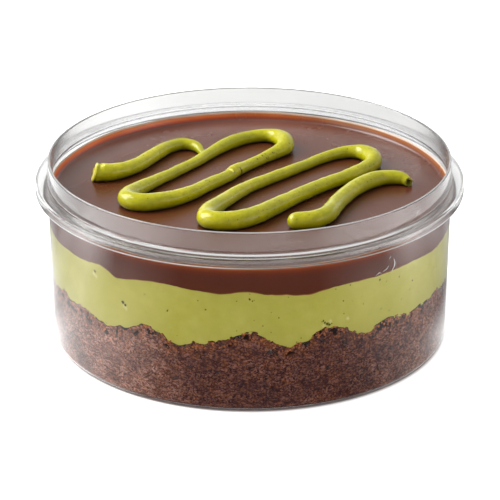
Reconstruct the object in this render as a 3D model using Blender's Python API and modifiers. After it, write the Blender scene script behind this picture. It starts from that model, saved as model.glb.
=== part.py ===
"""A layered cake dessert in its clear round tub.

From the bottom up the tub holds a dark chocolate cake base, a band of
pistachio cream and a smooth chocolate ganache, on which pistachio cream is
piped in long flat loops. Units are metres, +Z is up and the front is -Y.
"""

import math

import bmesh
import bpy
from mathutils import Vector

MM = 0.001

# Tub
TUB_HEIGHT = 46.1 * MM
RIM_RADIUS = 49.85 * MM          # outer radius at the very top
LIP_RADIUS = 50.0 * MM           # outer radius where the lip meets the flange
BASE_RADIUS = 49.35 * MM         # outer radius just above the bottom corner
WALL = 0.75 * MM
FLOOR = 0.9 * MM
CORNER_RADIUS = 1.7 * MM
FLANGE_RADIUS = 53.0 * MM
FLANGE_TOP = 41.15 * MM
FLANGE_DROP = 0.3 * MM           # how far the flange falls towards its edge
SKIRT_BOTTOM = 38.3 * MM
SKIRT_WALL = 0.8 * MM
LIP_FILLET = 0.6 * MM            # round between the lip and the flange
SKIRT_CHAMFER = 0.4 * MM         # chamfer under the flange
EDGE_START_DEG = 80              # where the flange's rounded edge begins
TUB_STEPS = 64
SHARP_DEG = 35                   # edges that bend more than this stay sharp
MERGE_DISTANCE = 0.01 * MM

# Contents
FIT_GAP = 0.3 * MM               # clearance between touching pieces
CAKE_TOP = 17.5 * MM
CREAM_TOP = 30.6 * MM
GANACHE_TOP = 37.2 * MM
MENISCUS_RISE = 1.0 * MM
MENISCUS_START = 0.96            # share of the radius where the ganache begins to climb
CORNER_SHARE = 0.5               # how far a layer draws in over the rounded corner
WAVE_SHARPNESS = 2.5             # steepness of a wave's flanks
FLATNESS = 4                     # power with which the waves fade towards the middle
LAYER_STEPS = 120
UNEVEN_RINGS = (0.0, 0.45, 0.75, 0.92, 1.0)
GANACHE_RINGS = (0.0, MENISCUS_START, 0.985, 1.0)

# Waves of the cake's top along the wall: azimuth from the front in degrees,
# rise in millimetres, half width in degrees
CAKE_WAVES = (
    (-66, 1.3, 3.0), (-55, 0.5, 5.0), (-44, -1.2, 4.5), (-29, 2.3, 4.5),
    (-20, -0.9, 3.0), (-8, 0.5, 4.0), (0, 3.2, 6.0), (9, -0.7, 3.0),
    (23, 3.2, 6.0), (35, -0.6, 2.5), (43, 1.1, 7.0), (50, -0.3, 3.0),
    (57, 0.5, 4.0), (66, 1.3, 4.0), (90, -0.9, 8.0), (112, 2.2, 6.0),
    (135, -0.6, 6.0), (155, 1.8, 7.0), (180, 0.9, 6.0), (205, 2.5, 6.0),
    (228, -0.8, 6.0), (250, 2.0, 7.0), (272, -0.7, 6.0),
)

# Waves of the cream's top, given in the same way
CREAM_WAVES = (
    (-48, 0.5, 5.0), (-44, 0.4, 2.5), (-39, -0.8, 3.5), (-25, 0.7, 6.0),
    (-16, 0.2, 4.0), (-9, -0.4, 4.0), (-1, 0.4, 3.5), (8, -0.5, 5.0),
    (16, -1.1, 5.0), (30, 0.1, 5.0), (50, 0.2, 7.0), (64, -0.6, 7.0),
    (100, 0.5, 9.0), (125, -0.6, 7.0), (150, 0.6, 9.0), (185, -0.5, 8.0),
    (215, 0.7, 8.0), (245, -0.4, 8.0), (270, 0.3, 8.0), (290, -0.3, 6.0),
)

# Piped strands: x, y and thickness in millimetres along the middle of each
FIRST_STRAND = (
    (-38.4, 5.7, 4.9), (-34.9, 6.0, 4.7), (-31.2, 8.6, 4.1), (-28.0, 12.5, 3.9),
    (-25.0, 17.9, 3.8), (-22.1, 23.0, 3.6), (-20.2, 25.5, 3.4),
    (-17.7, 27.0, 3.2), (-15.4, 26.6, 2.8), (-13.6, 24.6, 2.1), (-12.0, 21.8, 1.6),
)
BACK_LOOP = (
    (-30.0, -9.8, 4.5), (-27.9, -5.1, 4.0), (-24.9, -0.4, 3.4), (-19.9, 6.4, 3.0),
    (-14.1, 14.4, 2.8), (-11.0, 19.6, 3.0), (-7.7, 24.6, 3.4), (-4.0, 29.1, 3.6),
    (0.1, 32.2, 3.5), (4.0, 33.2, 3.7), (7.2, 31.8, 4.1), (9.0, 28.1, 4.7),
    (8.8, 23.8, 4.3), (5.8, 20.1, 3.4), (0.0, 13.3, 2.9), (-3.5, 8.6, 3.5),
    (-5.8, 4.5, 3.2), (-10.6, -1.6, 3.5), (-13.4, -5.6, 3.8), (-17.0, -9.6, 4.1),
    (-20.6, -12.2, 4.4), (-25.4, -14.0, 4.7), (-28.9, -12.9, 4.7),
)
FRONT_LOOP = (
    (-10.5, -22.4, 4.6), (-9.4, -18.2, 4.4), (-7.1, -13.7, 4.0), (-3.1, -6.7, 3.6),
    (0.3, -1.7, 3.3), (7.4, 5.9, 3.0), (14.6, 13.6, 2.8), (18.1, 17.3, 2.9),
    (21.7, 20.1, 3.1), (25.3, 21.5, 3.5), (28.4, 20.9, 4.0), (30.7, 18.2, 4.5),
    (31.4, 14.5, 4.4), (30.1, 11.3, 3.9), (25.2, 5.2, 3.7), (18.0, -1.7, 3.7),
    (10.9, -9.8, 3.9), (3.8, -19.2, 4.5), (0.2, -23.1, 4.7), (-3.3, -25.2, 4.8),
    (-6.7, -25.9, 4.9), (-9.5, -24.9, 4.8),
)
LAST_STRAND = (
    (11.2, -25.2, 4.4), (15.2, -24.6, 4.5), (18.4, -21.7, 4.5), (20.2, -17.0, 4.3),
    (21.9, -12.0, 4.2), (25.3, -5.1, 4.2), (28.0, -1.2, 4.2), (30.6, 1.4, 4.2),
    (33.2, 3.0, 4.0), (36.0, 3.5, 3.8), (38.2, 3.0, 3.3), (39.4, 1.8, 2.4),
)
STRAND_SINK = 0.75               # height of a strand's middle over its radius
STRAND_STEP = 2.7 * MM
STRAND_UNIT = 1.0 * MM           # radius of the plain outline that is swept
DOME_STEPS = 3
DOME_END_DEG = 80                # a strand's rounded end stops short of a point


def clear_objects():
    for item in list(bpy.data.objects):
        bpy.data.objects.remove(item, do_unlink=True)


def new_collection(name):
    collection = bpy.data.collections.new(name)
    bpy.context.scene.collection.children.link(collection)
    return collection


def make_material(name, color, roughness, transmission=0.0):
    material = bpy.data.materials.new(name)
    material.use_nodes = True
    shader = material.node_tree.nodes["Principled BSDF"]
    shader.inputs["Base Color"].default_value = (*color, 1.0)
    shader.inputs["Roughness"].default_value = roughness
    shader.inputs["Metallic"].default_value = 0.0
    shader.inputs["Transmission Weight"].default_value = transmission
    return material


def arc(centre_r, centre_z, radius, start_deg, end_deg, steps):
    """Points of an arc in the half plane of a turned profile."""
    points = []
    for step in range(steps + 1):
        angle = math.radians(start_deg + (end_deg - start_deg) * step / steps)
        points.append((centre_r + radius * math.cos(angle),
                       centre_z + radius * math.sin(angle)))
    return points


def turned_mesh(name, profile, steps):
    """Turn a profile of (radius, height) pairs round the Z axis."""
    outline = bpy.data.meshes.new(name + "_outline")
    points = [(radius, 0.0, height) for radius, height in profile]
    edges = [(index, index + 1) for index in range(len(points) - 1)]
    outline.from_pydata(points, edges, [])
    turning = bpy.data.objects.new(name + "_outline", outline)
    bpy.context.scene.collection.objects.link(turning)
    screw = turning.modifiers.new("Turn", "SCREW")
    screw.steps = steps
    screw.render_steps = steps
    screw.use_merge_vertices = True
    screw.merge_threshold = MERGE_DISTANCE
    mesh = evaluated_mesh(turning, name)
    bpy.data.objects.remove(turning, do_unlink=True)
    bpy.data.meshes.remove(outline)
    return mesh


def evaluated_mesh(item, name):
    depsgraph = bpy.context.evaluated_depsgraph_get()
    mesh = bpy.data.meshes.new_from_object(item.evaluated_get(depsgraph))
    mesh.name = name
    return mesh


def add_part(collection, name, mesh, material):
    mesh.materials.clear()
    mesh.materials.append(material)
    mesh.shade_smooth()
    mesh.set_sharp_from_angle(angle=math.radians(SHARP_DEG))
    item = bpy.data.objects.new(name, mesh)
    collection.objects.link(item)
    return item


def wall_outside(height):
    """Outer radius of the tub's tapered wall."""
    share = height / FLANGE_TOP
    return BASE_RADIUS + (LIP_RADIUS - BASE_RADIUS) * share


def wall_inside(height):
    return wall_outside(height) - WALL


def tub_profile():
    rim = WALL / 2
    inside_corner = CORNER_RADIUS - WALL
    flange_edge = FLANGE_TOP - FLANGE_DROP
    edge_round = SKIRT_WALL
    hem = SKIRT_WALL / 2
    under_flange = flange_edge - SKIRT_WALL
    profile = [(0.0, FLOOR)]
    profile += arc(wall_inside(FLOOR) - inside_corner, FLOOR + inside_corner,
                   inside_corner, -90, 0, 3)
    profile += [(wall_inside(FLANGE_TOP), FLANGE_TOP)]
    profile += arc(RIM_RADIUS - rim, TUB_HEIGHT - rim, rim, 180, 0, 4)
    profile += arc(LIP_RADIUS + LIP_FILLET, FLANGE_TOP + LIP_FILLET, LIP_FILLET,
                   180, 270, 2)
    profile += arc(FLANGE_RADIUS - edge_round, flange_edge - edge_round,
                   edge_round, EDGE_START_DEG, 0, 3)
    profile += arc(FLANGE_RADIUS - hem, SKIRT_BOTTOM + hem, hem, 0, -180, 4)
    profile += [(FLANGE_RADIUS - SKIRT_WALL, under_flange - SKIRT_CHAMFER),
                (FLANGE_RADIUS - SKIRT_WALL - SKIRT_CHAMFER, under_flange),
                (wall_outside(under_flange) + SKIRT_CHAMFER, under_flange),
                (wall_outside(under_flange), under_flange - SKIRT_CHAMFER)]
    profile += arc(wall_outside(CORNER_RADIUS) - CORNER_RADIUS, CORNER_RADIUS,
                   CORNER_RADIUS, 0, -90, 4)
    profile += [(0.0, 0.0)]
    return profile


def build_tub(collection):
    mesh = turned_mesh("tub", tub_profile(), TUB_STEPS)
    plastic = make_material("clear_plastic", (0.93, 0.94, 0.94), 0.06, 1.0)
    return add_part(collection, "tub", mesh, plastic)


def wave_height(azimuth_deg, waves):
    """Sum of the waves at one azimuth, in metres."""
    total = 0.0
    for centre, rise, half_width in waves:
        offset = (azimuth_deg - centre + 180.0) % 360.0 - 180.0
        total += rise * math.exp(-abs(offset / half_width) ** WAVE_SHARPNESS)
    return total * MM


def wavy_surface(level, waves):
    """Height over the share of the radius and azimuth, flat in the middle."""
    def height(share, azimuth_deg):
        return level + wave_height(azimuth_deg, waves) * share ** FLATNESS
    return height


def ganache_surface(share, azimuth_deg):
    """Flat top that climbs the wall a little at its edge."""
    climb = max(0.0, (share - MENISCUS_START) / (1.0 - MENISCUS_START))
    return GANACHE_TOP + MENISCUS_RISE * climb ** 2


def tub_floor(share, azimuth_deg):
    return FLOOR + FIT_GAP


def raised(surface, amount):
    def height(share, azimuth_deg):
        return surface(share, azimuth_deg) + amount
    return height


def layer_mesh(name, under, over, under_rings, over_rings):
    """A disc that fills the tub between two surfaces."""
    profile = [(share, 1.0) for share in over_rings]
    profile += [(share, 0.0) for share in reversed(under_rings)]
    mesh = turned_mesh(name, profile, LAYER_STEPS)
    for vertex in mesh.vertices:
        share = min(1.0, math.hypot(vertex.co.x, vertex.co.y))
        azimuth = math.atan2(vertex.co.x, -vertex.co.y)
        surface = over if vertex.co.z > 0.5 else under
        height = surface(share, math.degrees(azimuth))
        corner = max(0.0, FLOOR + CORNER_RADIUS - height)
        radius = share * (wall_inside(height) - FIT_GAP - CORNER_SHARE * corner)
        vertex.co = (radius * math.sin(azimuth), -radius * math.cos(azimuth), height)
    mesh.update()
    return mesh


def build_cake(collection, cake_top):
    mesh = layer_mesh("cake_base", tub_floor, cake_top, (0.0, 0.5, 1.0), UNEVEN_RINGS)
    crumb = make_material("chocolate_cake", (0.058, 0.028, 0.022), 0.85)
    return add_part(collection, "cake_base", mesh, crumb)


def build_cream(collection, cake_top, cream_top):
    mesh = layer_mesh("cream_layer", raised(cake_top, FIT_GAP), cream_top,
                      UNEVEN_RINGS, UNEVEN_RINGS)
    cream = make_material("pistachio_cream", (0.36, 0.31, 0.075), 0.5)
    return add_part(collection, "cream_layer", mesh, cream)


def smooth_path(waypoints, closed):
    """Evenly spaced points on a smooth curve through the waypoints."""
    points = [Vector(point) * MM for point in waypoints]
    count = len(points)
    spans = count if closed else count - 1
    path = []
    for span in range(spans):
        if closed:
            before, start, end, after = (points[(span + shift) % count]
                                         for shift in (-1, 0, 1, 2))
        else:
            before = points[max(span - 1, 0)]
            start, end = points[span], points[span + 1]
            after = points[min(span + 2, count - 1)]
        length = (end - start).length
        pieces = max(1, round(length / STRAND_STEP))
        for piece in range(pieces):
            t = piece / pieces
            path.append(0.5 * (2 * start + (end - before) * t
                               + (2 * before - 5 * start + 4 * end - after) * t ** 2
                               + (3 * start - before - 3 * end + after) * t ** 3))
    if not closed:
        path.append(points[-1])
    return path


def dome_points(end, inner, steps):
    """Extra points that round off a strand beyond its end."""
    radius = end.z / 2
    ahead = Vector((end.x - inner.x, end.y - inner.y, 0.0)).normalized()
    points = []
    for step in range(1, steps + 1):
        angle = math.radians(DOME_END_DEG) * step / steps
        reach = end + ahead * radius * math.sin(angle)
        points.append(Vector((reach.x, reach.y, end.z * math.cos(angle))))
    return points


def strand_mesh(name, waypoints, closed, round_start=False, round_end=False):
    path = smooth_path(waypoints, closed)
    sink = [STRAND_SINK * point.z / 2 for point in path]
    if round_start:
        dome = dome_points(path[0], path[1], DOME_STEPS)
        path = list(reversed(dome)) + path
        sink = [sink[0]] * len(dome) + sink
    if round_end:
        dome = dome_points(path[-1], path[-2], DOME_STEPS)
        path = path + dome
        sink = sink + [sink[-1]] * len(dome)
    curve = bpy.data.curves.new(name, "CURVE")
    curve.dimensions = "3D"
    curve.bevel_depth = STRAND_UNIT
    curve.bevel_resolution = 3
    curve.use_fill_caps = not closed
    spline = curve.splines.new("POLY")
    spline.points.add(len(path) - 1)
    for point, place, rise in zip(spline.points, path, sink):
        point.co = (place.x, place.y, GANACHE_TOP + rise, 1.0)
        point.radius = place.z / 2 / STRAND_UNIT
    spline.use_cyclic_u = closed
    tube = bpy.data.objects.new(name, curve)
    bpy.context.scene.collection.objects.link(tube)
    mesh = evaluated_mesh(tube, name)
    bpy.data.objects.remove(tube, do_unlink=True)
    shape = bmesh.new()
    shape.from_mesh(mesh)
    bmesh.ops.remove_doubles(shape, verts=shape.verts, dist=MERGE_DISTANCE)
    bmesh.ops.recalc_face_normals(shape, faces=shape.faces)
    shape.to_mesh(mesh)
    shape.free()
    return mesh


def build_ganache(collection, cutters, cream_top):
    mesh = layer_mesh("ganache", raised(cream_top, FIT_GAP), ganache_surface,
                      UNEVEN_RINGS, GANACHE_RINGS)
    chocolate = make_material("ganache", (0.05, 0.018, 0.006), 0.3)
    ganache = add_part(collection, "ganache", mesh, chocolate)
    strands = (
        strand_mesh("first_strand", FIRST_STRAND, False, round_end=True),
        strand_mesh("back_loop", BACK_LOOP, True),
        strand_mesh("front_loop", FRONT_LOOP, True),
        strand_mesh("last_strand", LAST_STRAND, False, round_start=True, round_end=True),
    )
    for strand in strands:
        item = bpy.data.objects.new(strand.name, strand)
        item.hide_render = True
        item.display_type = "WIRE"
        cutters.objects.link(item)
    union = ganache.modifiers.new("Piping", "BOOLEAN")
    union.operation = "UNION"
    union.operand_type = "COLLECTION"
    union.collection = cutters
    union.solver = "EXACT"
    union.use_self = True
    joined = evaluated_mesh(ganache, "ganache")
    ganache.modifiers.clear()
    ganache.data = joined
    joined.shade_smooth()
    joined.set_sharp_from_angle(angle=math.radians(SHARP_DEG))
    for item in list(cutters.objects):
        bpy.data.objects.remove(item, do_unlink=True)
    return ganache


def build():
    clear_objects()
    parts = new_collection("layered_cake_tub")
    cutters = new_collection("piped_strands")
    cake_top = wavy_surface(CAKE_TOP, CAKE_WAVES)
    cream_top = wavy_surface(CREAM_TOP, CREAM_WAVES)
    build_tub(parts)
    build_cake(parts, cake_top)
    build_cream(parts, cake_top, cream_top)
    build_ganache(parts, cutters, cream_top)


build()
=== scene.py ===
# %% [markdown]
# A layered cake dessert stands in an open tub of thin clear plastic. From the bottom up it
# holds dark chocolate cake, a band of pistachio cream and a smooth chocolate ganache, with
# pistachio cream piped on it in long loops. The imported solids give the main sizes, and each
# piece below is laid over the solid that it dresses.

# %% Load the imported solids
import math

import bmesh
import bpy
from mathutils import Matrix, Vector, noise


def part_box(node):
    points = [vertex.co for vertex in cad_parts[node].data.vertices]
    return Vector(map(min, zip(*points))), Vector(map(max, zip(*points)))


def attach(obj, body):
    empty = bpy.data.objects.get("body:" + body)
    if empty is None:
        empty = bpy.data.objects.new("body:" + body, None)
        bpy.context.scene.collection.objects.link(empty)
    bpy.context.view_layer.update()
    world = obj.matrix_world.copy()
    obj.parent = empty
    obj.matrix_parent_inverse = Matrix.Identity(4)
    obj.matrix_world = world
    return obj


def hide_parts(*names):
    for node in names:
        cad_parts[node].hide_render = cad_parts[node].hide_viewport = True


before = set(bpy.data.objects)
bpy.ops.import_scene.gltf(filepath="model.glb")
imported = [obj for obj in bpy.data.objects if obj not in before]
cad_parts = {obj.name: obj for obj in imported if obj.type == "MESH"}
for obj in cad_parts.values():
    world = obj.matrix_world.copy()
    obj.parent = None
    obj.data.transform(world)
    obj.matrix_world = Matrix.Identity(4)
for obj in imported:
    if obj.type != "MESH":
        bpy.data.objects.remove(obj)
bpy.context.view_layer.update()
MM = 0.001

# %% [markdown]
# A clear tub on a white table is easiest to judge with a plain display curve, where a colour
# that is set is the colour that is seen, so the view uses Standard and not a filmic curve.

# %% Show colours plainly
scene = bpy.context.scene
scene.view_settings.view_transform = "Standard"
scene.view_settings.look = "None"
print("view", scene.view_settings.view_transform)

# %% [markdown]
# Some helpers are used again and again. One bakes a helper object: the mesh that it shows
# with its modifiers is kept, and the helper goes. Another gives a finished mesh its place in
# the frame: it rides on the body, stands for its solid and names its material slot. A place
# round the tub is given by its azimuth, which is 0 at the front and grows to the right.

# %% Helpers for meshes and pieces
SHARP_ANGLE = math.radians(40)


def new_object(name, data):
    item = bpy.data.objects.new(name, data)
    scene.collection.objects.link(item)
    return item


def baked_mesh(helper, name):
    depsgraph = bpy.context.evaluated_depsgraph_get()
    mesh = bpy.data.meshes.new_from_object(helper.evaluated_get(depsgraph))
    mesh.name = name
    bpy.data.objects.remove(helper, do_unlink=True)
    return mesh


def smooth(mesh):
    """Smooth shading, with an edge kept sharp where two faces meet at a clear angle."""
    mesh.shade_smooth()
    mesh.set_sharp_from_angle(angle=SHARP_ANGLE)


def at_wall(azimuth, height, radius):
    return Vector((radius * math.sin(azimuth), -radius * math.cos(azimuth), height))


def finish_piece(name, mesh, solid, material=None):
    """Ride on the one body, stand for the named solid and name the material slot."""
    item = new_object(name, mesh)
    if material:
        mesh.materials.append(material)
    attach(item, "root")
    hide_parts(solid)
    print(name, len(mesh.polygons), "faces")


print("helpers for meshes ready")

# %% [markdown]
# The tub is a turned shape, so a profile of radius and height is enough: up the inside, over
# the rim, down the lip, out and round the flange with its hanging skirt, then down the
# tapered wall. The flange radius and the height come from the solid.

# %% The tub's profile
tub_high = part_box("tub")[1]
HEIGHT = tub_high.z
FLANGE_RADIUS = tub_high.x
WALL = 0.75 * MM
FLOOR = 0.9 * MM
BASE_RADIUS = FLANGE_RADIUS - 3.65 * MM
LIP_RADIUS = FLANGE_RADIUS - 3.0 * MM
RIM_RADIUS = LIP_RADIUS - 0.15 * MM
FLANGE_TOP = HEIGHT - 4.95 * MM
FLANGE_EDGE = FLANGE_TOP - 0.3 * MM
SKIRT_BOTTOM = HEIGHT - 7.8 * MM
SHEET = 0.45 * MM
CORNER_RADIUS = 1.7 * MM


def arc(centre_r, centre_z, radius, start_deg, end_deg, steps):
    points = []
    for step in range(steps + 1):
        angle = math.radians(start_deg + (end_deg - start_deg) * step / steps)
        points.append((centre_r + radius * math.cos(angle),
                       centre_z + radius * math.sin(angle)))
    return points


def wall_outside(height):
    return BASE_RADIUS + (LIP_RADIUS - BASE_RADIUS) * height / FLANGE_TOP


def wall_inside(height):
    return wall_outside(height) - WALL


def tub_profile():
    inside_corner = CORNER_RADIUS - WALL
    under_flange = FLANGE_EDGE - SHEET
    inner_skirt = FLANGE_RADIUS - SHEET
    fillet = 0.26 * MM
    small = 0.22 * MM
    nook = 0.08 * MM
    bend = 0.4 * MM
    edge = 0.5 * MM
    rim = WALL / 2
    points = [(0.0, FLOOR)]
    points += arc(wall_inside(FLOOR) - inside_corner, FLOOR + inside_corner,
                  inside_corner, -90, 0, 6)
    points += [(wall_inside(FLANGE_TOP), FLANGE_TOP)]
    points += arc(RIM_RADIUS - rim, HEIGHT - rim, rim, 180, 0, 10)
    points += arc(LIP_RADIUS + fillet, FLANGE_TOP + fillet, fillet, 180, 265, 6)
    points += arc(FLANGE_RADIUS - edge, FLANGE_EDGE - edge, edge, 80, 0, 6)
    points += arc(FLANGE_RADIUS - small, SKIRT_BOTTOM + small, small, 0, -180, 8)
    points += arc(inner_skirt - bend, under_flange - bend, bend, 0, 90, 6)
    points += arc(wall_outside(under_flange) + nook, under_flange - nook, nook, 90, 180, 4)
    points += arc(wall_outside(CORNER_RADIUS) - CORNER_RADIUS, CORNER_RADIUS,
                  CORNER_RADIUS, 0, -90, 8)
    points += [(0.0, 0.0)]
    return points


print("tub", round(2 * RIM_RADIUS / MM, 1), "mm across the rim,", round(HEIGHT / MM, 1), "mm high")

# %% [markdown]
# A Screw modifier turns the profile once round the axis. Its merge distance is set small,
# because the default would weld this thin wall shut. The seam of the turn is then welded,
# the faces are turned outward, and the count of open edges shows that the skin is closed.

# %% Turn the tub
TUB_STEPS = 288
POLE_WELD = 0.005 * MM
SEAM_WELD = 0.001 * MM


def turned_mesh(name, profile):
    outline = bpy.data.meshes.new(name + "_outline")
    points = [(radius, 0.0, height) for radius, height in profile]
    edges = [(index, index + 1) for index in range(len(points) - 1)]
    outline.from_pydata(points, edges, [])
    turning = new_object(name + "_outline", outline)
    screw = turning.modifiers.new("Turn", "SCREW")
    screw.steps = TUB_STEPS
    screw.render_steps = TUB_STEPS
    screw.use_merge_vertices = True
    screw.merge_threshold = POLE_WELD
    mesh = baked_mesh(turning, name)
    shape = bmesh.new()
    shape.from_mesh(mesh)
    bmesh.ops.remove_doubles(shape, verts=shape.verts, dist=SEAM_WELD)
    bmesh.ops.recalc_face_normals(shape, faces=shape.faces)
    print(name, sum(not edge.is_manifold for edge in shape.edges), "open edges")
    shape.to_mesh(mesh)
    shape.free()
    smooth(mesh)
    return mesh


tub_mesh = turned_mesh("clear_tub", tub_profile())

# %% [markdown]
# Materials and Geometry Nodes are both graphs of nodes. Each helper below adds one node,
# fills its sockets with values or links, and hands back the result to link on. A graph then
# reads like a recipe: a value is measured and mapped to a share, and the share blends.

# %% Helpers for nodes
def fill(tree, item, inputs):
    """Fill a node's sockets, each with a plain value or a link."""
    for key, value in inputs.items():
        if isinstance(value, bpy.types.NodeSocket):
            tree.links.new(value, item.inputs[key])
        else:
            item.inputs[key].default_value = value
    return item


def node(tree, kind, inputs=None, **settings):
    """Add a node, set its properties and fill its sockets."""
    made = tree.nodes.new(kind)
    for key, value in settings.items():
        setattr(made, key, value)
    return fill(tree, made, inputs or {})


def calc(tree, operation, *values, **settings):
    inputs = dict(enumerate(values))
    return node(tree, "ShaderNodeMath", inputs, operation=operation, **settings).outputs[0]


def times(tree, first, second):
    return calc(tree, "MULTIPLY", first, second)


def vector_calc(tree, operation, *values, **named):
    """A length or a distance comes back as a number, all else as a vector."""
    inputs = {**dict(enumerate(values)), **named}
    made = node(tree, "ShaderNodeVectorMath", inputs, operation=operation)
    return made.outputs["Value" if operation in ("LENGTH", "DISTANCE") else "Vector"]


def remap(tree, value, start, end, low=0.0, high=1.0):
    """Map start to low and end to high, and stay level past them."""
    inputs = {"Value": value, "From Min": start, "From Max": end, "To Min": low, "To Max": high}
    return node(tree, "ShaderNodeMapRange", inputs).outputs["Result"]


def cloud(tree, place, scale, detail=2.0, **more):
    inputs = {"Vector": place, "Scale": scale, "Detail": detail, **more}
    return node(tree, "ShaderNodeTexNoise", inputs).outputs["Fac"]


def object_place(tree):
    return node(tree, "ShaderNodeTexCoord").outputs["Object"]


def axes_of(tree, place):
    """The X, Y and Z of a place."""
    return node(tree, "ShaderNodeSeparateXYZ", {"Vector": place}).outputs


def mark(tree, name):
    """A number that is stored on the mesh."""
    return node(tree, "ShaderNodeAttribute", attribute_name=name).outputs["Fac"]


print("helpers for nodes ready")

# %% [markdown]
# Most finishes here are painted in coats: a first colour, and further ones laid over it, each
# by its own amount. A ramp gives colours that follow a value, and a bump stands in for relief
# that is too fine to model.

# %% Helpers for colours and materials
def grey(level):
    return (level,) * 3


def blend_colors(tree, factor, first, second):
    """Mix two colours by a factor, each a link or a plain colour."""
    first, second = (color if isinstance(color, bpy.types.NodeSocket) else (*color, 1.0)
                     for color in (first, second))
    inputs = {"Factor": factor, 6: first, 7: second}
    return node(tree, "ShaderNodeMix", inputs, data_type="RGBA").outputs[2]


def paint(tree, color, coats):
    """Lay coats over a colour in turn, each given as an amount and a colour."""
    for amount, coat in coats:
        color = blend_colors(tree, amount, color, coat)
    return color


def color_ramp(tree, factor, stops):
    """A colour ramp through (place, colour) stops."""
    ramp = node(tree, "ShaderNodeValToRGB", {"Fac": factor})
    elements = ramp.color_ramp.elements
    elements.remove(elements[1])
    elements[0].position = stops[0][0]
    elements[0].color = (*stops[0][1], 1.0)
    for spot, color in stops[1:]:
        elements.new(spot).color = (*color, 1.0)
    return ramp.outputs["Color"]


def bump(tree, height, strength, distance):
    inputs = {"Height": height, "Strength": strength, "Distance": distance}
    return node(tree, "ShaderNodeBump", inputs).outputs["Normal"]


def new_material(name):
    material = bpy.data.materials.new(name)
    material.use_nodes = True
    return material, material.node_tree


def set_surface(material, inputs):
    """Fill the sockets of the material's Principled BSDF."""
    fill(material.node_tree, material.node_tree.nodes["Principled BSDF"], inputs)
    return material


print("helpers for materials ready")

# %% [markdown]
# Clear moulded plastic is a smooth shell that lets light through and bends it a little less
# than window glass. Thin packaging is never quite colourless, so the tint is a light grey. Its
# depth is also painted by place to stand in for light: deepest in the flange, which is seen
# through two or three sheets, painted paler at the sides, where the flange stands before the
# bright table, and nearly gone at the back, where it is seen through the lip. The lip above it
# is slightly hazy, so the roughness follows the height, but the crown of the rim is polished.

# %% Clear plastic
PLASTIC_IOR = 1.38
# Tints by height and place, painted lighter or deeper to stand in for the light seen through the
# sheets.
TINT_BY_HEIGHT = ((SKIRT_BOTTOM - 0.2 * MM, 0.81), (SKIRT_BOTTOM + 0.2 * MM, 0.70),
                  (FLANGE_TOP + 0.3 * MM, 0.72), (FLANGE_TOP + 1.0 * MM, 0.785))
SIDE_TINT = 0.80
BACK_TINT = (0.90, 0.905, 0.91)
SIDE_FROM_TO = (40.0 * MM, 50.0 * MM)
BACK_FROM_TO = (5.0 * MM, 25.0 * MM)
CLEAR_HAZE = 0.02
LIP_HAZE = 0.15


def faint_green(level):
    return (level, level + 0.005, level)


def build_clear_plastic():
    material, tree = new_material("clear_plastic")
    place = object_place(tree)
    x, y, z = axes_of(tree, place)
    haze = remap(tree, z, SKIRT_BOTTOM - 0.5 * MM, FLANGE_TOP + 2.0 * MM, CLEAR_HAZE, LIP_HAZE)
    polish = remap(tree, z, HEIGHT - 0.5 * MM, HEIGHT - 0.3 * MM, 1.0, 0.1)
    rough = calc(tree, "MULTIPLY_ADD", cloud(tree, place, 60.0, 1.0), 0.03, haze)
    tint = color_ramp(tree, calc(tree, "DIVIDE", z, HEIGHT), [
        (height / HEIGHT, faint_green(level)) for height, level in TINT_BY_HEIGHT])
    above_skirt = calc(tree, "GREATER_THAN", z, SKIRT_BOTTOM)
    below_lip = calc(tree, "LESS_THAN", z, FLANGE_TOP + 0.6 * MM)
    at_side = remap(tree, calc(tree, "ABSOLUTE", x), *SIDE_FROM_TO)
    at_back = times(tree, remap(tree, y, *BACK_FROM_TO), below_lip)
    color = paint(tree, tint, (
        (times(tree, at_side, above_skirt), faint_green(SIDE_TINT)),
        (times(tree, at_back, above_skirt), BACK_TINT)))
    return set_surface(material, {
        "Base Color": color, "Roughness": times(tree, rough, polish), "IOR": PLASTIC_IOR,
        "Transmission Weight": 1.0})


finish_piece("clear_tub", tub_mesh, "tub", build_clear_plastic())

# %% [markdown]
# The rim and the skirt were trimmed when the tub was made, and the cut edges are frosted.
# Each shows as a thin pale line, partly the frosting and partly a painted highlight along the
# edge. A slim ring just under the rim's crown and one just inside the bottom of the skirt
# give those lines. The skirt's line is painted brightest on the left, where it faces the
# light, and faint at the front, so its tone follows the place across the tub.

# %% The frosted edges of the rim and the skirt, and their painted highlight
EDGE_WIDTH = 0.13 * MM
RIM_EDGE = (RIM_RADIUS - WALL / 2, HEIGHT - 0.16 * MM)
SKIRT_EDGE = (FLANGE_RADIUS - 0.22 * MM, SKIRT_BOTTOM + 0.19 * MM)
TONE_REACH = 53
# Levels of the painted highlight along each edge, brighter where the edge faces the light.
RIM_GLINT_TONE = ((-53, 1.0), (53, 1.0))
SKIRT_GLINT_TONE = ((-53, 1.0), (-20, 1.0), (-10, 0.95), (4, 0.45), (18, 0.38), (30, 0.60),
              (37, 0.90), (53, 0.90))


def build_glinting_edge(name, tones):
    """Tones are levels by the millimetres to the right of the middle."""
    material, tree = new_material(name)
    place = object_place(tree)
    worn = remap(tree, cloud(tree, place, 90.0, 3.0), 0.0, 1.0, 0.75, 0.95)
    across = remap(tree, axes_of(tree, place)["X"], -TONE_REACH * MM, TONE_REACH * MM)
    tone = color_ramp(tree, across, [
        ((x_mm + TONE_REACH) / (2 * TONE_REACH), grey(level)) for x_mm, level in tones])
    return set_surface(material, {"Base Color": times(tree, worn, tone), "Roughness": 0.35})


for name, (radius, height), tones in (("frosted_rim_glint", RIM_EDGE, RIM_GLINT_TONE),
                                      ("skirt_edge_glint", SKIRT_EDGE, SKIRT_GLINT_TONE)):
    edge_mesh = turned_mesh(name, arc(radius, height, EDGE_WIDTH, 360, 0, 8))
    finish_piece(name, edge_mesh, "tub", build_glinting_edge(name, tones))

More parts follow.
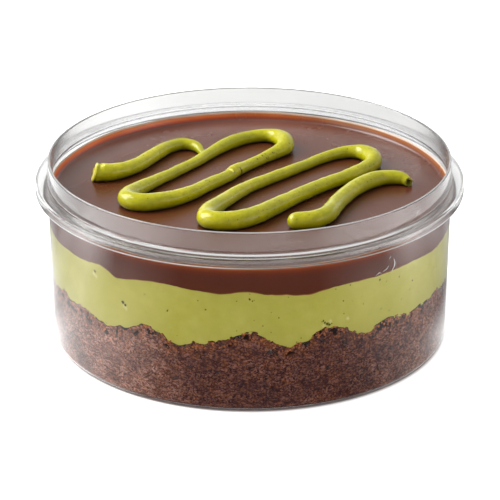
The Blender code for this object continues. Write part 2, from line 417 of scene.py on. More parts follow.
# %% [markdown]
# The tub has been handled: a few short pale scratches show on its right side and on the lip.
# Each is a thin bead along a line given by azimuth and height, laid on the outside of the
# wall. A curve with a bevel makes such a bead from very few numbers.

# %% Scratches on the plastic
SCRATCHES = (
    ((42.4, 30.9), (43.3, 31.9), (43.5, 32.9), (43.0, 34.0)),
    ((43.3, 31.9), (44.0, 32.6)),
    ((36.6, 31.1), (37.8, 31.6), (38.6, 31.2)),
    ((39.2, 31.5), (40.4, 31.9), (41.2, 32.6)),
    ((41.3, 34.2), (41.9, 34.8)),
    ((52.0, 42.2), (52.8, 43.2), (53.2, 44.4)),
    ((53.2, 42.6), (54.4, 43.6)),
)
SCRATCH_WIDTH = 0.14 * MM
TIP_SHARE = 0.4


def new_curve(name):
    curve = bpy.data.curves.new(name, "CURVE")
    curve.dimensions = "3D"
    return curve


def add_line(curve, places, radii, closed=False):
    """Add one line to a curve, with a radius at each of its points."""
    line = curve.splines.new("POLY")
    line.points.add(len(places) - 1)
    for point, place, radius in zip(line.points, places, radii):
        point.co = (*place, 1.0)
        point.radius = radius
    line.use_cyclic_u = closed


def on_outside(azimuth_deg, height_mm):
    """A place on the outside of the wall or of the lip above it."""
    height = height_mm * MM
    radius = wall_outside(height)
    if height > FLANGE_TOP:
        share = (height - FLANGE_TOP) / (HEIGHT - FLANGE_TOP)
        radius = LIP_RADIUS + (RIM_RADIUS - LIP_RADIUS) * share
    return at_wall(math.radians(azimuth_deg), height, radius)


def scratch_mesh():
    curve = new_curve("scratches")
    curve.bevel_depth = SCRATCH_WIDTH / 2
    curve.bevel_resolution = 1
    curve.use_fill_caps = True
    for line in SCRATCHES:
        middle = [1.0] * (len(line) - 2)
        add_line(curve, [on_outside(*spot) for spot in line], [TIP_SHARE, *middle, TIP_SHARE])
    mesh = baked_mesh(new_object("scratches", curve), "scratches")
    mesh.shade_smooth()
    return mesh


def build_scratch_material():
    material, tree = new_material("scratched_plastic")
    tone = remap(tree, cloud(tree, object_place(tree), 900.0), 0.0, 1.0, 0.55, 0.95)
    return set_surface(material, {"Base Color": tone, "Roughness": 0.5})


finish_piece("scratches", scratch_mesh(), "tub", build_scratch_material())

# %% [markdown]
# Each layer was spooned in, so its edge rises and falls along the wall. The waves are listed
# once as azimuth from the front, rise and half width, the same as in the solids, and fade
# to a flat level towards the middle, where nothing shows.

# %% The waves between the layers
CAKE_TOP = 17.5 * MM
CREAM_TOP = 30.6 * MM
GANACHE_TOP = 37.2 * MM
CAKE_WAVES = (
    (-66, 1.3, 3.0), (-55, 0.5, 5.0), (-44, -1.2, 4.5), (-29, 2.3, 4.5),
    (-20, -0.9, 3.0), (-8, 0.5, 4.0), (0, 3.2, 6.0), (9, -0.7, 3.0),
    (23, 3.2, 6.0), (35, -0.6, 2.5), (43, 1.1, 7.0), (50, -0.3, 3.0),
    (57, 0.5, 4.0), (66, 1.3, 4.0), (90, -0.9, 8.0), (112, 2.2, 6.0),
    (135, -0.6, 6.0), (155, 1.8, 7.0), (180, 0.9, 6.0), (205, 2.5, 6.0),
    (228, -0.8, 6.0), (250, 2.0, 7.0), (272, -0.7, 6.0),
)
CREAM_WAVES = (
    (-48, 0.5, 5.0), (-44, 0.4, 2.5), (-39, -0.8, 3.5), (-25, 0.7, 6.0),
    (-16, 0.2, 4.0), (-9, -0.4, 4.0), (-1, 0.4, 3.5), (8, -0.5, 5.0),
    (16, -1.1, 5.0), (30, 0.1, 5.0), (50, 0.2, 7.0), (64, -0.6, 7.0),
    (100, 0.5, 9.0), (125, -0.6, 7.0), (150, 0.6, 9.0), (185, -0.5, 8.0),
    (215, 0.7, 8.0), (245, -0.4, 8.0), (270, 0.3, 8.0), (290, -0.3, 6.0),
)


def wave_height(azimuth, waves):
    """Sum of the waves at an azimuth in radians, in metres."""
    total = 0.0
    for centre, rise, half_width in waves:
        offset = (math.degrees(azimuth) - centre + 180.0) % 360.0 - 180.0
        total += rise * math.exp(-abs(offset / half_width) ** 2.5)
    return total * MM


def ripple(azimuth, height, size, depth):
    """A small wander that repeats exactly after one turn."""
    spot = at_wall(azimuth, height, 0.05) / size
    return depth * noise.noise(spot)


def cake_edge(azimuth):
    crags = ripple(azimuth, 0.0, 1.8 * MM, 0.5 * MM) + ripple(azimuth, 0.1, 0.8 * MM, 0.14 * MM)
    return CAKE_TOP + wave_height(azimuth, CAKE_WAVES) + crags


def cream_edge(azimuth):
    wander = ripple(azimuth, 0.2, 2.5 * MM, 0.25 * MM) + ripple(azimuth, 0.3, 0.9 * MM, 0.08 * MM)
    return CREAM_TOP + wave_height(azimuth, CREAM_WAVES) + wander


print("cake edge at the front", round(cake_edge(0.0) / MM, 2), "mm up")

# %% [markdown]
# A layer is a stack of rings: across the flat middle of its underside, up its visible side
# and back to the middle on top. What touches clear plastic must reach a little way into the
# wall, or a thin line of air would mirror the light and hide the food.

# %% Build a layer from rings
def layer_mesh(name, steps, rings):
    """Closed mesh from functions that give one ring each over the azimuth."""
    shape = bmesh.new()
    rows = [[shape.verts.new(ring(2 * math.pi * step / steps)) for step in range(steps)]
            for ring in rings]
    for lower, upper in zip(rows, rows[1:]):
        for step in range(steps):
            after = (step + 1) % steps
            shape.faces.new((lower[step], lower[after], upper[after], upper[step]))
    shape.faces.new(list(reversed(rows[0])))
    shape.faces.new(rows[-1])
    mesh = bpy.data.meshes.new(name)
    shape.to_mesh(mesh)
    shape.free()
    return mesh


def flat_ring(share, height):
    def ring(azimuth):
        return at_wall(azimuth, height, share * wall_inside(height))
    return ring


def side_rings(shares, lower_edge, upper_edge, reach):
    """Rings at the given shares of the way from one edge to the other."""
    def side_ring(share):
        def ring(azimuth):
            low, high = lower_edge(azimuth), upper_edge(azimuth)
            height = low + (high - low) * share
            return at_wall(azimuth, height, wall_inside(height) + reach)
        return ring
    return [side_ring(share) for share in shares]


print("wall inside", round(wall_inside(0.02) / MM, 2), "mm at 20 mm up")

# %% [markdown]
# The cake is a dense, moist crumb that fills the tub almost into its rounded corner, where a
# sliver of clear plastic shows. Its side is a fine grid, about a third of a millimetre
# between points, so that pockets of air can be real dents and not only a pattern.

# %% The cake's body
CAKE_STEPS = 960
CAKE_ROWS = 54
CAKE_REACH = 0.12 * MM
CAKE_CORNER = 1.08 * MM


def cake_foot(azimuth):
    return FLOOR + CAKE_CORNER


def corner_ring(angle_deg):
    """A ring of the rounded corner between the cake's underside and its side."""
    turn = math.radians(angle_deg)
    curve = CAKE_CORNER + CAKE_REACH
    height = FLOOR + CAKE_CORNER - curve * math.cos(turn)
    radius = wall_inside(FLOOR) - CAKE_CORNER + curve * math.sin(turn)

    def ring(azimuth):
        return at_wall(azimuth, height, radius)
    return ring


def cake_mesh():
    rings = [flat_ring(0.6, FLOOR - CAKE_REACH)]
    rings += [corner_ring(angle) for angle in (0, 18, 36, 54, 72)]
    shares = [row / CAKE_ROWS for row in range(CAKE_ROWS + 1)]
    rings += side_rings(shares, cake_foot, cake_edge, CAKE_REACH)
    rings += [flat_ring(0.95, CAKE_TOP - 1.5 * MM)]
    return layer_mesh("cake_crumb", CAKE_STEPS, rings)


print("cake grid", CAKE_STEPS, "by", CAKE_ROWS)

# %% [markdown]
# A Geometry Nodes tree gets a geometry, named sizes and a material. It ends by making any
# instances real and setting the material, because an export drops instances. To run it, a
# modifier's inputs are set by the sockets' identifiers, and the result is kept as a plain
# mesh, so nothing live is left on a finished piece.

# %% Helpers for Geometry Nodes
def new_geometry_tree(name, sizes):
    tree = bpy.data.node_groups.new(name, "GeometryNodeTree")
    for side in ("INPUT", "OUTPUT"):
        tree.interface.new_socket("Geometry", in_out=side, socket_type="NodeSocketGeometry")
    for label, value in sizes.items():
        kind = "NodeSocketInt" if isinstance(value, int) else "NodeSocketFloat"
        socket = tree.interface.new_socket(label, in_out="INPUT", socket_type=kind)
        socket.default_value = value
    tree.interface.new_socket("Material", in_out="INPUT", socket_type="NodeSocketMaterial")
    return tree, tree.nodes.new("NodeGroupInput").outputs


def geometry_node(tree, kind, inputs=None, **settings):
    """Add a node of Geometry Nodes and hand back its first result."""
    return node(tree, "GeometryNode" + kind, inputs, **settings).outputs[0]


def stored(tree, name):
    return geometry_node(tree, "InputNamedAttribute", {"Name": name})


def end_tree(tree, start, geometry):
    solid = geometry_node(tree, "RealizeInstances", {"Geometry": geometry})
    dressed = geometry_node(tree, "SetMaterial", {"Geometry": solid, "Material": start["Material"]})
    node(tree, "NodeGroupOutput", {"Geometry": dressed})
    return tree


def run_geometry(name, data, tree, values):
    """Run a tree on a mesh or curve and keep the result as a plain mesh."""
    helper = new_object(name, data)
    modifier = helper.modifiers.new(tree.name, "NODES")
    modifier.node_group = tree
    for socket in tree.interface.items_tree:
        if socket.in_out == "INPUT" and socket.name in values:
            modifier[socket.identifier] = values[socket.name]
    return baked_mesh(helper, name)


print("helpers for Geometry Nodes ready")

# %% [markdown]
# Pores are pushed into the side by a Geometry Nodes tree: a fine cell pattern gives the
# grains, a wider noise the pockets, and together they say how far each point moves towards
# the tub's axis. The same mask is stored on the mesh, so the colour can be darker in a pore.

# %% Press pores into the cake
GRAIN_EDGE = (0.35, 0.75)
POCKET_EDGE = (0.665, 0.73)
SOUND_FOOT = (3.0 * MM, 4.5 * MM)


def build_pore_tree():
    tree, start = new_geometry_tree("press_pores", {
        "Grain Size": 0.9 * MM, "Grain Depth": 0.07 * MM, "Pocket Size": 3.2 * MM,
        "Pocket Depth": 0.5 * MM, "Crust Share": 0.20})
    place = geometry_node(tree, "InputPosition")
    grain_scale = calc(tree, "DIVIDE", 1.0, start["Grain Size"])
    pocket_scale = calc(tree, "DIVIDE", 1.0, start["Pocket Size"])
    grain = node(tree, "ShaderNodeTexVoronoi", {"Vector": place, "Scale": grain_scale})
    grain_mask = remap(tree, grain.outputs["Distance"], *GRAIN_EDGE)
    squashed = vector_calc(tree, "MULTIPLY", place, (1.0, 1.0, 1.8))
    pocket = cloud(tree, squashed, pocket_scale, 3.0)
    likely = calc(tree, "MULTIPLY_ADD", stored(tree, "crust"), start["Crust Share"], pocket)
    above_foot = remap(tree, axes_of(tree, place)["Z"], *SOUND_FOOT)
    damp = calc(tree, "SUBTRACT", 1.0, stored(tree, "dry"))
    pocket_mask = times(tree, remap(tree, likely, *POCKET_EDGE), times(tree, above_foot, damp))
    grain_dent = times(tree, grain_mask, start["Grain Depth"])
    pocket_dent = times(tree, pocket_mask, start["Pocket Depth"])
    dent = calc(tree, "ADD", grain_dent, pocket_dent)
    to_axis = vector_calc(tree, "MULTIPLY", place, (-1.0, -1.0, 0.0))
    shift = vector_calc(tree, "SCALE", vector_calc(tree, "NORMALIZE", to_axis), Scale=dent)
    marked = geometry_node(tree, "StoreNamedAttribute", {
        "Geometry": start["Geometry"], "Name": "pocket", "Value": pocket_mask})
    moved = geometry_node(tree, "SetPosition", {"Geometry": marked, "Offset": shift})
    return end_tree(tree, start, moved)


print("pore tree ready")

# %% [markdown]
# Two patterns are shared by several foods, so each is a shader group: Mottle gives slow
# patches of light and dark, and Flecks gives scattered dots, of which only some cells of a
# cell pattern are kept. Both read object coordinates, so they stay on the piece.

# %% Shared patterns
def new_shader_group(name, sizes, result):
    """A group with named numbers in and one number out."""
    tree = bpy.data.node_groups.new(name, "ShaderNodeTree")
    for label, value in sizes.items():
        socket = tree.interface.new_socket(label, in_out="INPUT", socket_type="NodeSocketFloat")
        socket.default_value = value
    tree.interface.new_socket(result, in_out="OUTPUT", socket_type="NodeSocketFloat")
    return tree, tree.nodes.new("NodeGroupInput").outputs


def use_group(tree, group, inputs):
    return node(tree, "ShaderNodeGroup", inputs, node_tree=group).outputs[0]


def build_mottle_group():
    tree, start = new_shader_group("Mottle", {"Scale": 100.0, "Detail": 3.0, "Contrast": 1.0},
                                   "Value")
    patches = cloud(tree, object_place(tree), start["Scale"], start["Detail"])
    centred = calc(tree, "SUBTRACT", patches, 0.5)
    node(tree, "NodeGroupOutput", {"Value": calc(
        tree, "MULTIPLY_ADD", centred, start["Contrast"], 0.5, use_clamp=True)})
    return tree


def build_flecks_group():
    tree, start = new_shader_group("Flecks", {"Scale": 500.0, "Radius": 0.2, "Share": 0.2}, "Mask")
    cells = node(tree, "ShaderNodeTexVoronoi", {"Vector": object_place(tree),
                                                "Scale": start["Scale"]}).outputs
    pick = node(tree, "ShaderNodeSeparateColor", {"Color": cells["Color"]}).outputs["Red"]
    kept = calc(tree, "LESS_THAN", pick, start["Share"])
    inside = calc(tree, "SUBTRACT", start["Radius"], cells["Distance"])
    soft = calc(tree, "MULTIPLY", inside, 12.0, use_clamp=True)
    node(tree, "NodeGroupOutput", {"Mask": times(tree, soft, kept)})
    return tree


mottle_group = build_mottle_group()
flecks_group = build_flecks_group()


def mottle(tree, scale, detail, contrast):
    return use_group(tree, mottle_group, {"Scale": scale, "Detail": detail,
                                          "Contrast": contrast})


def flecks(tree, scale, radius, share):
    return use_group(tree, flecks_group, {"Scale": scale, "Radius": radius, "Share": share})


print("groups", mottle_group.name, flecks_group.name)

# %% [markdown]
# Chocolate crumb is not one brown. It is darkest where it is damp, paler where it is dry
# against the wall and reddish near the top crust. Painted shade makes it almost black in a
# pocket and in torn gaps just under the crust, and a painted shadow line follows its top edge
# under the cream. The mesh carries the crust, the dryness and the pockets as attributes, and
# the colours follow those.

# %% Chocolate cake finish
CRUMB_DARK = (0.040, 0.016, 0.015)
CRUMB_BROWN = (0.115, 0.048, 0.044)
CRUMB_LIGHT = (0.46, 0.215, 0.175)
DRY_TONES = ((0.17, 0.078, 0.062), (0.50, 0.240, 0.185), (0.90, 0.550, 0.430))
CRUMB_ORANGE = (0.46, 0.145, 0.055)
CRUMB_PURPLE = (0.085, 0.042, 0.048)
CRUMB_RED = (0.72, 0.250, 0.095)
# Painted shade: near black in pockets and torn gaps, and along the top edge under the cream.
POCKET_SHADE_BLACK = (0.035, 0.015, 0.014)
CREVICE_SHADE_BLACK = (0.020, 0.008, 0.006)
GRAIN_STOPS = (0.42, 0.50, 0.60)
REDDER_CRUST = (0.05, 0.5, 0.22, 0.75)
UNDER_CRUST = (0.10, 0.32)
TORN_GAPS = (0.70, 0.82)
CRUST_EDGE = (0.86, 0.93)
DRY_PLACES = ((-68, 0.90, 24.0), (-36, 0.95, 15.0), (62, 0.65, 16.0), (120, 0.5, 25.0),
              (200, 0.6, 30.0))
CRUST_DEPTH = 1.8 * MM


def worm_lines(tree, place, scale):
    """Thin wandering lines, taken where a twisted noise passes through its middle value."""
    twisted = cloud(tree, place, scale, 1.0, Distortion=1.5)
    return calc(tree, "COMPARE", twisted, 0.5, 0.025)


def build_crumb_material():
    material, tree = new_material("chocolate_crumb")
    crust, pocket, dry = (mark(tree, name) for name in ("crust", "pocket", "dry"))
    pressed = vector_calc(tree, "MULTIPLY", object_place(tree), (1.0, 1.0, 1.7))
    grain = cloud(tree, pressed, 680.0, 3.0, Roughness=0.66, Distortion=2.2)
    moist_crumb, dry_crumb = (
        color_ramp(tree, grain, list(zip(GRAIN_STOPS, tones)))
        for tones in ((CRUMB_DARK, CRUMB_BROWN, CRUMB_LIGHT), DRY_TONES))
    near_crust = remap(tree, crust, *REDDER_CRUST)
    shaded_gaps = remap(tree, mottle(tree, 430.0, 3.0, 3.5), *TORN_GAPS)
    color = paint(tree, moist_crumb, (
        (dry, dry_crumb),
        (times(tree, mottle(tree, 640.0, 2.0, 4.0), near_crust), CRUMB_ORANGE),
        (times(tree, mottle(tree, 210.0, 3.0, 4.0), 0.55), CRUMB_PURPLE),
        (times(tree, worm_lines(tree, pressed, 800.0), 0.7), CRUMB_DARK),
        (times(tree, flecks(tree, 1500.0, 0.50, 0.5), near_crust), CRUMB_RED),
        # Painted shade in torn gaps under the crust, in pockets and along the top edge.
        (times(tree, shaded_gaps, remap(tree, crust, *UNDER_CRUST)), CREVICE_SHADE_BLACK),
        (pocket, POCKET_SHADE_BLACK),
        (times(tree, remap(tree, crust, *CRUST_EDGE), mottle(tree, 260.0, 2.0, 7.0)), CREVICE_SHADE_BLACK)))
    return set_surface(material, {
        "Base Color": color, "Roughness": 0.8, "Specular IOR Level": 0.02,
        "Normal": bump(tree, grain, 0.9, 0.6 * MM)})


def store_marks(mesh, names, measure):
    """Store named numbers at every point; measure works them out from place and azimuth."""
    marks = [mesh.attributes.new(name, "FLOAT", "POINT") for name in names]
    for index, vertex in enumerate(mesh.vertices):
        azimuth = math.atan2(vertex.co.x, -vertex.co.y)
        for stored_mark, value in zip(marks, measure(vertex.co, azimuth)):
            stored_mark.data[index].value = value


def crumb_marks(place, azimuth):
    """Crust is 1 at the cake's top edge and fades below; dryness depends on the azimuth."""
    below = cake_edge(azimuth) - place.z
    crust = math.exp(-max(0.0, below) / CRUST_DEPTH)
    return crust, min(1.0, wave_height(azimuth, DRY_PLACES) / MM)


crumb_material = build_crumb_material()
plain_cake = cake_mesh()
store_marks(plain_cake, ("crust", "dry"), crumb_marks)
porous_cake = run_geometry("cake_crumb", plain_cake, build_pore_tree(),
                           {"Material": crumb_material})
porous_cake.shade_smooth()
finish_piece("cake_crumb", porous_cake, "cake_base")

# %% [markdown]
# Loose grains sit along the crust, where the cake broke as the cream was spread on it. A
# Geometry Nodes tree drops points on the side near the crust, keeps them a little apart, and
# sets a small lump on each with its own size and turn.

# %% Crumbs along the crust
FULL_TURN = 6.28
CRUST_CHANCE = (0.25, 0.75)
SWELL = (0.3, 0.7, 0.7, 1.3)


def build_crumb_tree():
    tree, start = new_geometry_tree("scatter_crumbs", {
        "Spacing": 0.55 * MM, "Density": 1500000.0, "Smallest": 0.16 * MM,
        "Largest": 0.40 * MM, "Seed": 11})
    crust = stored(tree, "crust")
    below_edge = calc(tree, "LESS_THAN", crust, CRUST_EDGE[0])
    points = geometry_node(tree, "DistributePointsOnFaces", {
        "Mesh": start["Geometry"], "Distance Min": start["Spacing"],
        "Density Max": start["Density"], "Seed": start["Seed"],
        "Density Factor": times(tree, remap(tree, crust, *CRUST_CHANCE), below_edge)},
        distribute_method="POISSON")
    lump = geometry_node(tree, "MeshIcoSphere", {"Radius": 1.0, "Subdivisions": 2})
    place = geometry_node(tree, "InputPosition")
    swell = remap(tree, cloud(tree, place, 1.3, 1.0), *SWELL)
    knobbly = vector_calc(tree, "SCALE", place, Scale=swell)
    shaped = geometry_node(tree, "SetPosition", {"Geometry": lump, "Position": knobbly})
    turn = node(tree, "FunctionNodeRandomValue", {1: grey(FULL_TURN), "Seed": start["Seed"]},
                data_type="FLOAT_VECTOR")
    size = node(tree, "FunctionNodeRandomValue", {
        2: start["Smallest"], 3: start["Largest"], "Seed": start["Seed"]}, data_type="FLOAT")
    lumps = geometry_node(tree, "InstanceOnPoints", {
        "Points": points, "Instance": shaped, "Rotation": turn.outputs[0],
        "Scale": size.outputs[1]})
    return end_tree(tree, start, lumps)


def build_grain_material():
    material, tree = new_material("crust_grain")
    tone = blend_colors(tree, mottle(tree, 700.0, 1.0, 5.0), CRUMB_BROWN, CRUMB_RED)
    fine = blend_colors(tree, mottle(tree, 3000.0, 2.0, 2.0), tone, CRUMB_DARK)
    return set_surface(material, {
        "Base Color": blend_colors(tree, 0.35, tone, fine), "Roughness": 0.7,
        "Specular IOR Level": 0.02})


crumbs_mesh = run_geometry("crust_crumbs", porous_cake.copy(), build_crumb_tree(),
                           {"Material": build_grain_material()})
crumbs_mesh.shade_smooth()
finish_piece("crust_crumbs", crumbs_mesh, "cake_base")

# %% [markdown]
# The pistachio cream is a smooth thick band between two wavy edges. It reaches a little
# behind the cake's crags and behind the ganache, as the real layers press into each other.
# Its green is uneven, with fine brown specks, and a few larger dark bits and pale smears are
# set where the photo shows them.

# %% The cream layer
CREAM_STEPS = 720
CREAM_ROWS = 16
CREAM_REACH = 0.05 * MM
OVERLAP = 0.5 * MM
SPECK_BROWN = (0.12, 0.095, 0.015)
SPECK_AND_HOLLOW_DARK = (0.06, 0.050, 0.008)
CREAM_PALE = (0.66, 0.62, 0.26)
CREAM_GREEN = (0.56, 0.520, 0.115)
CREAM_LIGHT = (0.61, 0.570, 0.150)
CREAM_DEEP = (0.47, 0.440, 0.075)
OILY_TINT = (1.0, 0.98, 0.80, 1.0)
RAGGED = 0.9 * MM


def cream_foot(azimuth):
    return cake_edge(azimuth) - OVERLAP


def cream_head(azimuth):
    return cream_edge(azimuth) + OVERLAP


def cream_mesh():
    shares = [row / CREAM_ROWS for row in range(CREAM_ROWS + 1)]
    sides = side_rings(shares, cream_foot, cream_head, CREAM_REACH)
    rings = [flat_ring(0.9, CAKE_TOP), *sides, flat_ring(0.9, CREAM_TOP)]
    return layer_mesh("cream_band", CREAM_STEPS, rings)


def spot_mask(tree, place, spots):
    """Soft dots at listed places, each with its own radius in millimetres.

    Spots listed at height 0 count at any height, so they mark the upper side of a strand.
    """
    if all(z == 0.0 for x, y, z, radius in spots):
        place = vector_calc(tree, "MULTIPLY", place, (1.0, 1.0, 0.0))
    mask = None
    for x, y, z, radius in spots:
        away = vector_calc(tree, "DISTANCE", place, (x * MM, y * MM, z * MM))
        dot = remap(tree, away, radius * MM, radius * 0.5 * MM)
        mask = calc(tree, "MAXIMUM", mask, dot) if mask else dot
    return mask


def on_wall(azimuth_deg, height, radius):
    """A spot against the wall, from its azimuth, its height and its own radius."""
    spot = at_wall(math.radians(azimuth_deg), height * MM, wall_inside(height * MM)) / MM
    return (*spot, radius)


def band_patches(tree):
    """Cloudy patches, as where cream was pressed against the wall."""
    return mottle(tree, 380.0, 3.0, 3.0)


def build_cream_material(name, colors, gloss, pattern, speck_share, dark_bits_and_shade, pale_smears_and_highlights):
    base, light, deep, pale = colors
    material, tree = new_material(name)
    place = object_place(tree)
    bent = node(tree, "ShaderNodeTexNoise", {"Vector": place, "Scale": 1800.0}).outputs["Color"]
    shift = vector_calc(tree, "SUBTRACT", bent, grey(0.5))
    ragged = vector_calc(tree, "MULTIPLY_ADD", shift, grey(RAGGED), place)
    fine = mottle(tree, 900.0, 2.0, 2.0)
    color = paint(tree, deep, (
        (mottle(tree, 90.0, 3.0, 2.5), light),
        (0.5, base),
        (times(tree, pattern(tree), 0.45), deep),
        # On the band these are pale smears; on the piped cream they are painted highlights.
        (spot_mask(tree, ragged, pale_smears_and_highlights), pale),
        (times(tree, flecks(tree, 1000.0, 0.22, speck_share), 0.75), SPECK_BROWN),
        # Dark bits; on the piped cream some of these spots are painted shade in hollows.
        (spot_mask(tree, ragged, dark_bits_and_shade), SPECK_AND_HOLLOW_DARK)))
    return set_surface(material, {
        "Base Color": color, "Roughness": remap(tree, fine, 0.0, 1.0, 0.16, 0.26),
        "Specular IOR Level": gloss, "Specular Tint": OILY_TINT,
        "Normal": bump(tree, fine, 0.12, 0.3 * MM)})


BAND_DARK = [on_wall(*spot) for spot in (
    (-37.4, 23.9, 0.55), (-36.6, 23.3, 0.40), (-48, 29.2, 0.45), (-23, 24.5, 0.30),
    (0, 29.2, 0.35), (0.8, 28.7, 0.25), (28.5, 30.2, 0.32), (26.5, 26.5, 0.28),
    (20.4, 22.2, 0.38), (21.0, 21.7, 0.38), (21.7, 21.2, 0.44), (22.4, 20.95, 0.38),
    (23.0, 21.15, 0.28), (38.5, 29.5, 0.32),
    (41, 28.5, 0.28), (46, 28.3, 0.28), (66, 30.0, 0.40), (-12, 26.0, 0.22),
    (8, 24.2, 0.22), (-30, 27.5, 0.22), (33, 24.5, 0.24), (52, 25.6, 0.25))]
BAND_PALE = [on_wall(*spot) for spot in (
    (-36.8, 22.9, 0.7), (-36.3, 22.4, 0.6), (-48.5, 28.4, 0.7), (-47.5, 28.0, 0.5),
    (20.7, 20.9, 0.6), (22.6, 21.9, 0.5), (28.0, 21.6, 0.6))]
cream_band = cream_mesh()
smooth(cream_band)
finish_piece("cream_band", cream_band, "cream_layer", build_cream_material(
    "pistachio_cream", (CREAM_GREEN, CREAM_LIGHT, CREAM_DEEP, CREAM_PALE), 0.02,
    band_patches, 0.10, BAND_DARK, BAND_PALE))

# %% [markdown]
# Where two foods touch, the narrow corner between them lies in shade. A shader group measures
# how open each place is to its surroundings and gives a mask for that corner, and both the
# ganache and the piped cream use it to paint that shade into their colour.

# %% The painted shade where foods touch
SHADE_REACH = 1.6 * MM


def build_contact_group():
    """Near 1 in the narrow corner where two foods touch, 0 in the open."""
    tree, start = new_shader_group("Contact Shade", {"Reach": SHADE_REACH}, "Mask")
    openness = node(tree, "ShaderNodeAmbientOcclusion", {"Distance": start["Reach"]}, samples=8)
    node(tree, "NodeGroupOutput", {"Mask": remap(tree, openness.outputs["AO"], 0.68, 0.20)})
    return tree


contact_group = build_contact_group()


def contact_shade(tree):
    return use_group(tree, contact_group, {"Reach": SHADE_REACH})


print("group", contact_group.name)

# %% [markdown]
# The ganache set flat, but it clings to the wall: its surface curves up a little, then a thin
# film climbs a millimetre or two. Rings close together follow that climb, and each point
# stores how far it has climbed, whether it lies open to the air, and how near the cream it is.

# %% The ganache's shape
GANACHE_STEPS = 360
GANACHE_REACH = 0.10 * MM
FRONT_FILM = 37.7 * MM
BACK_FILM = 39.4 * MM
FILM_WIDTH = 0.45 * MM
FILM_EDGE_WIDTH = 0.04 * MM
DISH_START = 0.935
DISH_SHARE = 0.22
FOOT_HEIGHT = 0.25 * MM


def film_edge(azimuth):
    """The film is low in front and climbs higher round the sides and the back."""
    turned = min(1.0, max(0.0, (abs(math.degrees(azimuth) % 360.0 - 180.0) - 85.0) / 45.0))
    top = BACK_FILM + (FRONT_FILM - BACK_FILM) * turned
    return top + ripple(azimuth, 0.5, 9.0 * MM, 0.2 * MM)


def climbed(azimuth, climb):
    return GANACHE_TOP + (film_edge(azimuth) - GANACHE_TOP) * climb


def dish_ring(share):
    """The surface curves up towards the wall by a part of the film's climb."""
    climb = DISH_SHARE * ((share - DISH_START) / (1.0 - DISH_START)) ** 3

    def ring(azimuth):
        height = climbed(azimuth, climb)
        return at_wall(azimuth, height, share * wall_inside(height))
    return ring


def film_ring(share):
    """Rings of the steep film between the dished surface and the film's edge."""
    def ring(azimuth):
        height = climbed(azimuth, DISH_SHARE + (1.0 - DISH_SHARE) * share)
        inset = FILM_WIDTH * (1.0 - share) ** 1.8 + FILM_EDGE_WIDTH
        return at_wall(azimuth, height, wall_inside(height) - inset)
    return ring


def ganache_mesh():
    shares = [0.0, 0.02, 0.045] + [row / 12 for row in range(1, 13)]
    rings = [flat_ring(0.9, CREAM_TOP + 0.2 * MM)]
    rings += side_rings(shares, cream_edge, film_edge, GANACHE_REACH)
    rings += [film_ring(share) for share in (1.0, 0.85, 0.65, 0.45, 0.28, 0.12, 0.0)]
    rings += [dish_ring(DISH_START + step * 0.005) for step in range(10, -1, -1)]
    rings += [flat_ring(share, GANACHE_TOP) for share in (0.925, 0.90, 0.6, 0.2)]
    return layer_mesh("ganache_top", GANACHE_STEPS, rings)


def ganache_marks(place, azimuth):
    """Open is 1 where it meets air, climb 1 at the film's edge, foot 1 along the cream."""
    gap = wall_inside(place.z) - place.xy.length
    above = place.z - GANACHE_TOP
    is_open = 1.0 if gap > 0.0 and above > -1.0 * MM else 0.0
    climb = min(1.0, max(0.0, above / (film_edge(azimuth) - GANACHE_TOP)))
    return is_open, climb, max(0.0, 1.0 - (place.z - cream_edge(azimuth)) / FOOT_HEIGHT)


ganache_top = ganache_mesh()
store_marks(ganache_top, ("open", "climb", "foot"), ganache_marks)
smooth(ganache_top)
print("film", round(film_edge(0.0) / MM, 2), "mm up at the front")

# %% [markdown]
# Set chocolate is a deep brown with a soft sheen. Where the film is thin, the light that
# shines through it is painted in, red and then orange, brighter on the left, which faces the
# light, with a painted highlight, nearly white, along its edge. Seen through the wall, the
# front has its own warmer colours, with painted light through the thin edge near its top and
# a painted highlight at the film's tip. A tan line follows the cream, a paler haze is painted
# along the far edge, all but its right end, and painted shade darkens the ganache round the
# piped cream.

# %% Ganache finish
GANACHE_DARK = (0.100, 0.026, 0.011)
GANACHE_LOW = (0.120, 0.029, 0.014)
# The front seen through the wall: its own colour low down, painted light through the thin edge near
# the top.
WALL_TONE_GLOW_STOPS = ((0.10, GANACHE_LOW), (0.46, GANACHE_LOW), (0.56, (0.165, 0.032, 0.012)),
              (0.63, (0.26, 0.048, 0.012)), (0.685, (0.45, 0.14, 0.05)))
WALL_SIDEWAYS = (0.135, 0.034, 0.018)
# Light through the thin film, painted in; the lit colours are for the left, which faces the light,
# and the pale and peach ones are painted highlights.
FILM_GLOW_RED = (0.17, 0.040, 0.011)
FILM_GLOW_RED_LIT = (0.66, 0.075, 0.010)
FILM_GLOW_ORANGE = (0.34, 0.102, 0.016)
FILM_GLOW_ORANGE_LIT = (1.0, 0.22, 0.035)
FILM_TIP_HIGHLIGHT = (1.0, 0.60, 0.34)
FILM_EDGE_HIGHLIGHT = (1.0, 0.86, 0.72)
FOOT_TAN = (0.42, 0.20, 0.06)
# Painted shade round the piped cream.
CONTACT_SHADE_BROWN = (0.012, 0.004, 0.002)
GANACHE_HAZE = (0.20, 0.090, 0.068)
REDDENS = (0.10, 0.32)
TURNS_ORANGE = (0.36, 0.58)
TURNS_PALE = (0.70, 0.92)
FLAT_PART = (0.22, 0.08)
FILM_TIP = (0.75, 1.0)
WALL_HEIGHTS = (30.0 * MM, 40.0 * MM)
OFF_WALL = (46.0 * MM, 44.5 * MM)
BY_WALL = (37.0 * MM, 46.5 * MM)
LIT_FROM_TO = (23.0 * MM, -17.0 * MM)
CLEAR_RIGHT = (30.0 * MM, 5.0 * MM)
FRONT_FROM_TO = (-26.0 * MM, -40.0 * MM)
FAR_FROM_TO = (-5.0 * MM, 25.0 * MM)


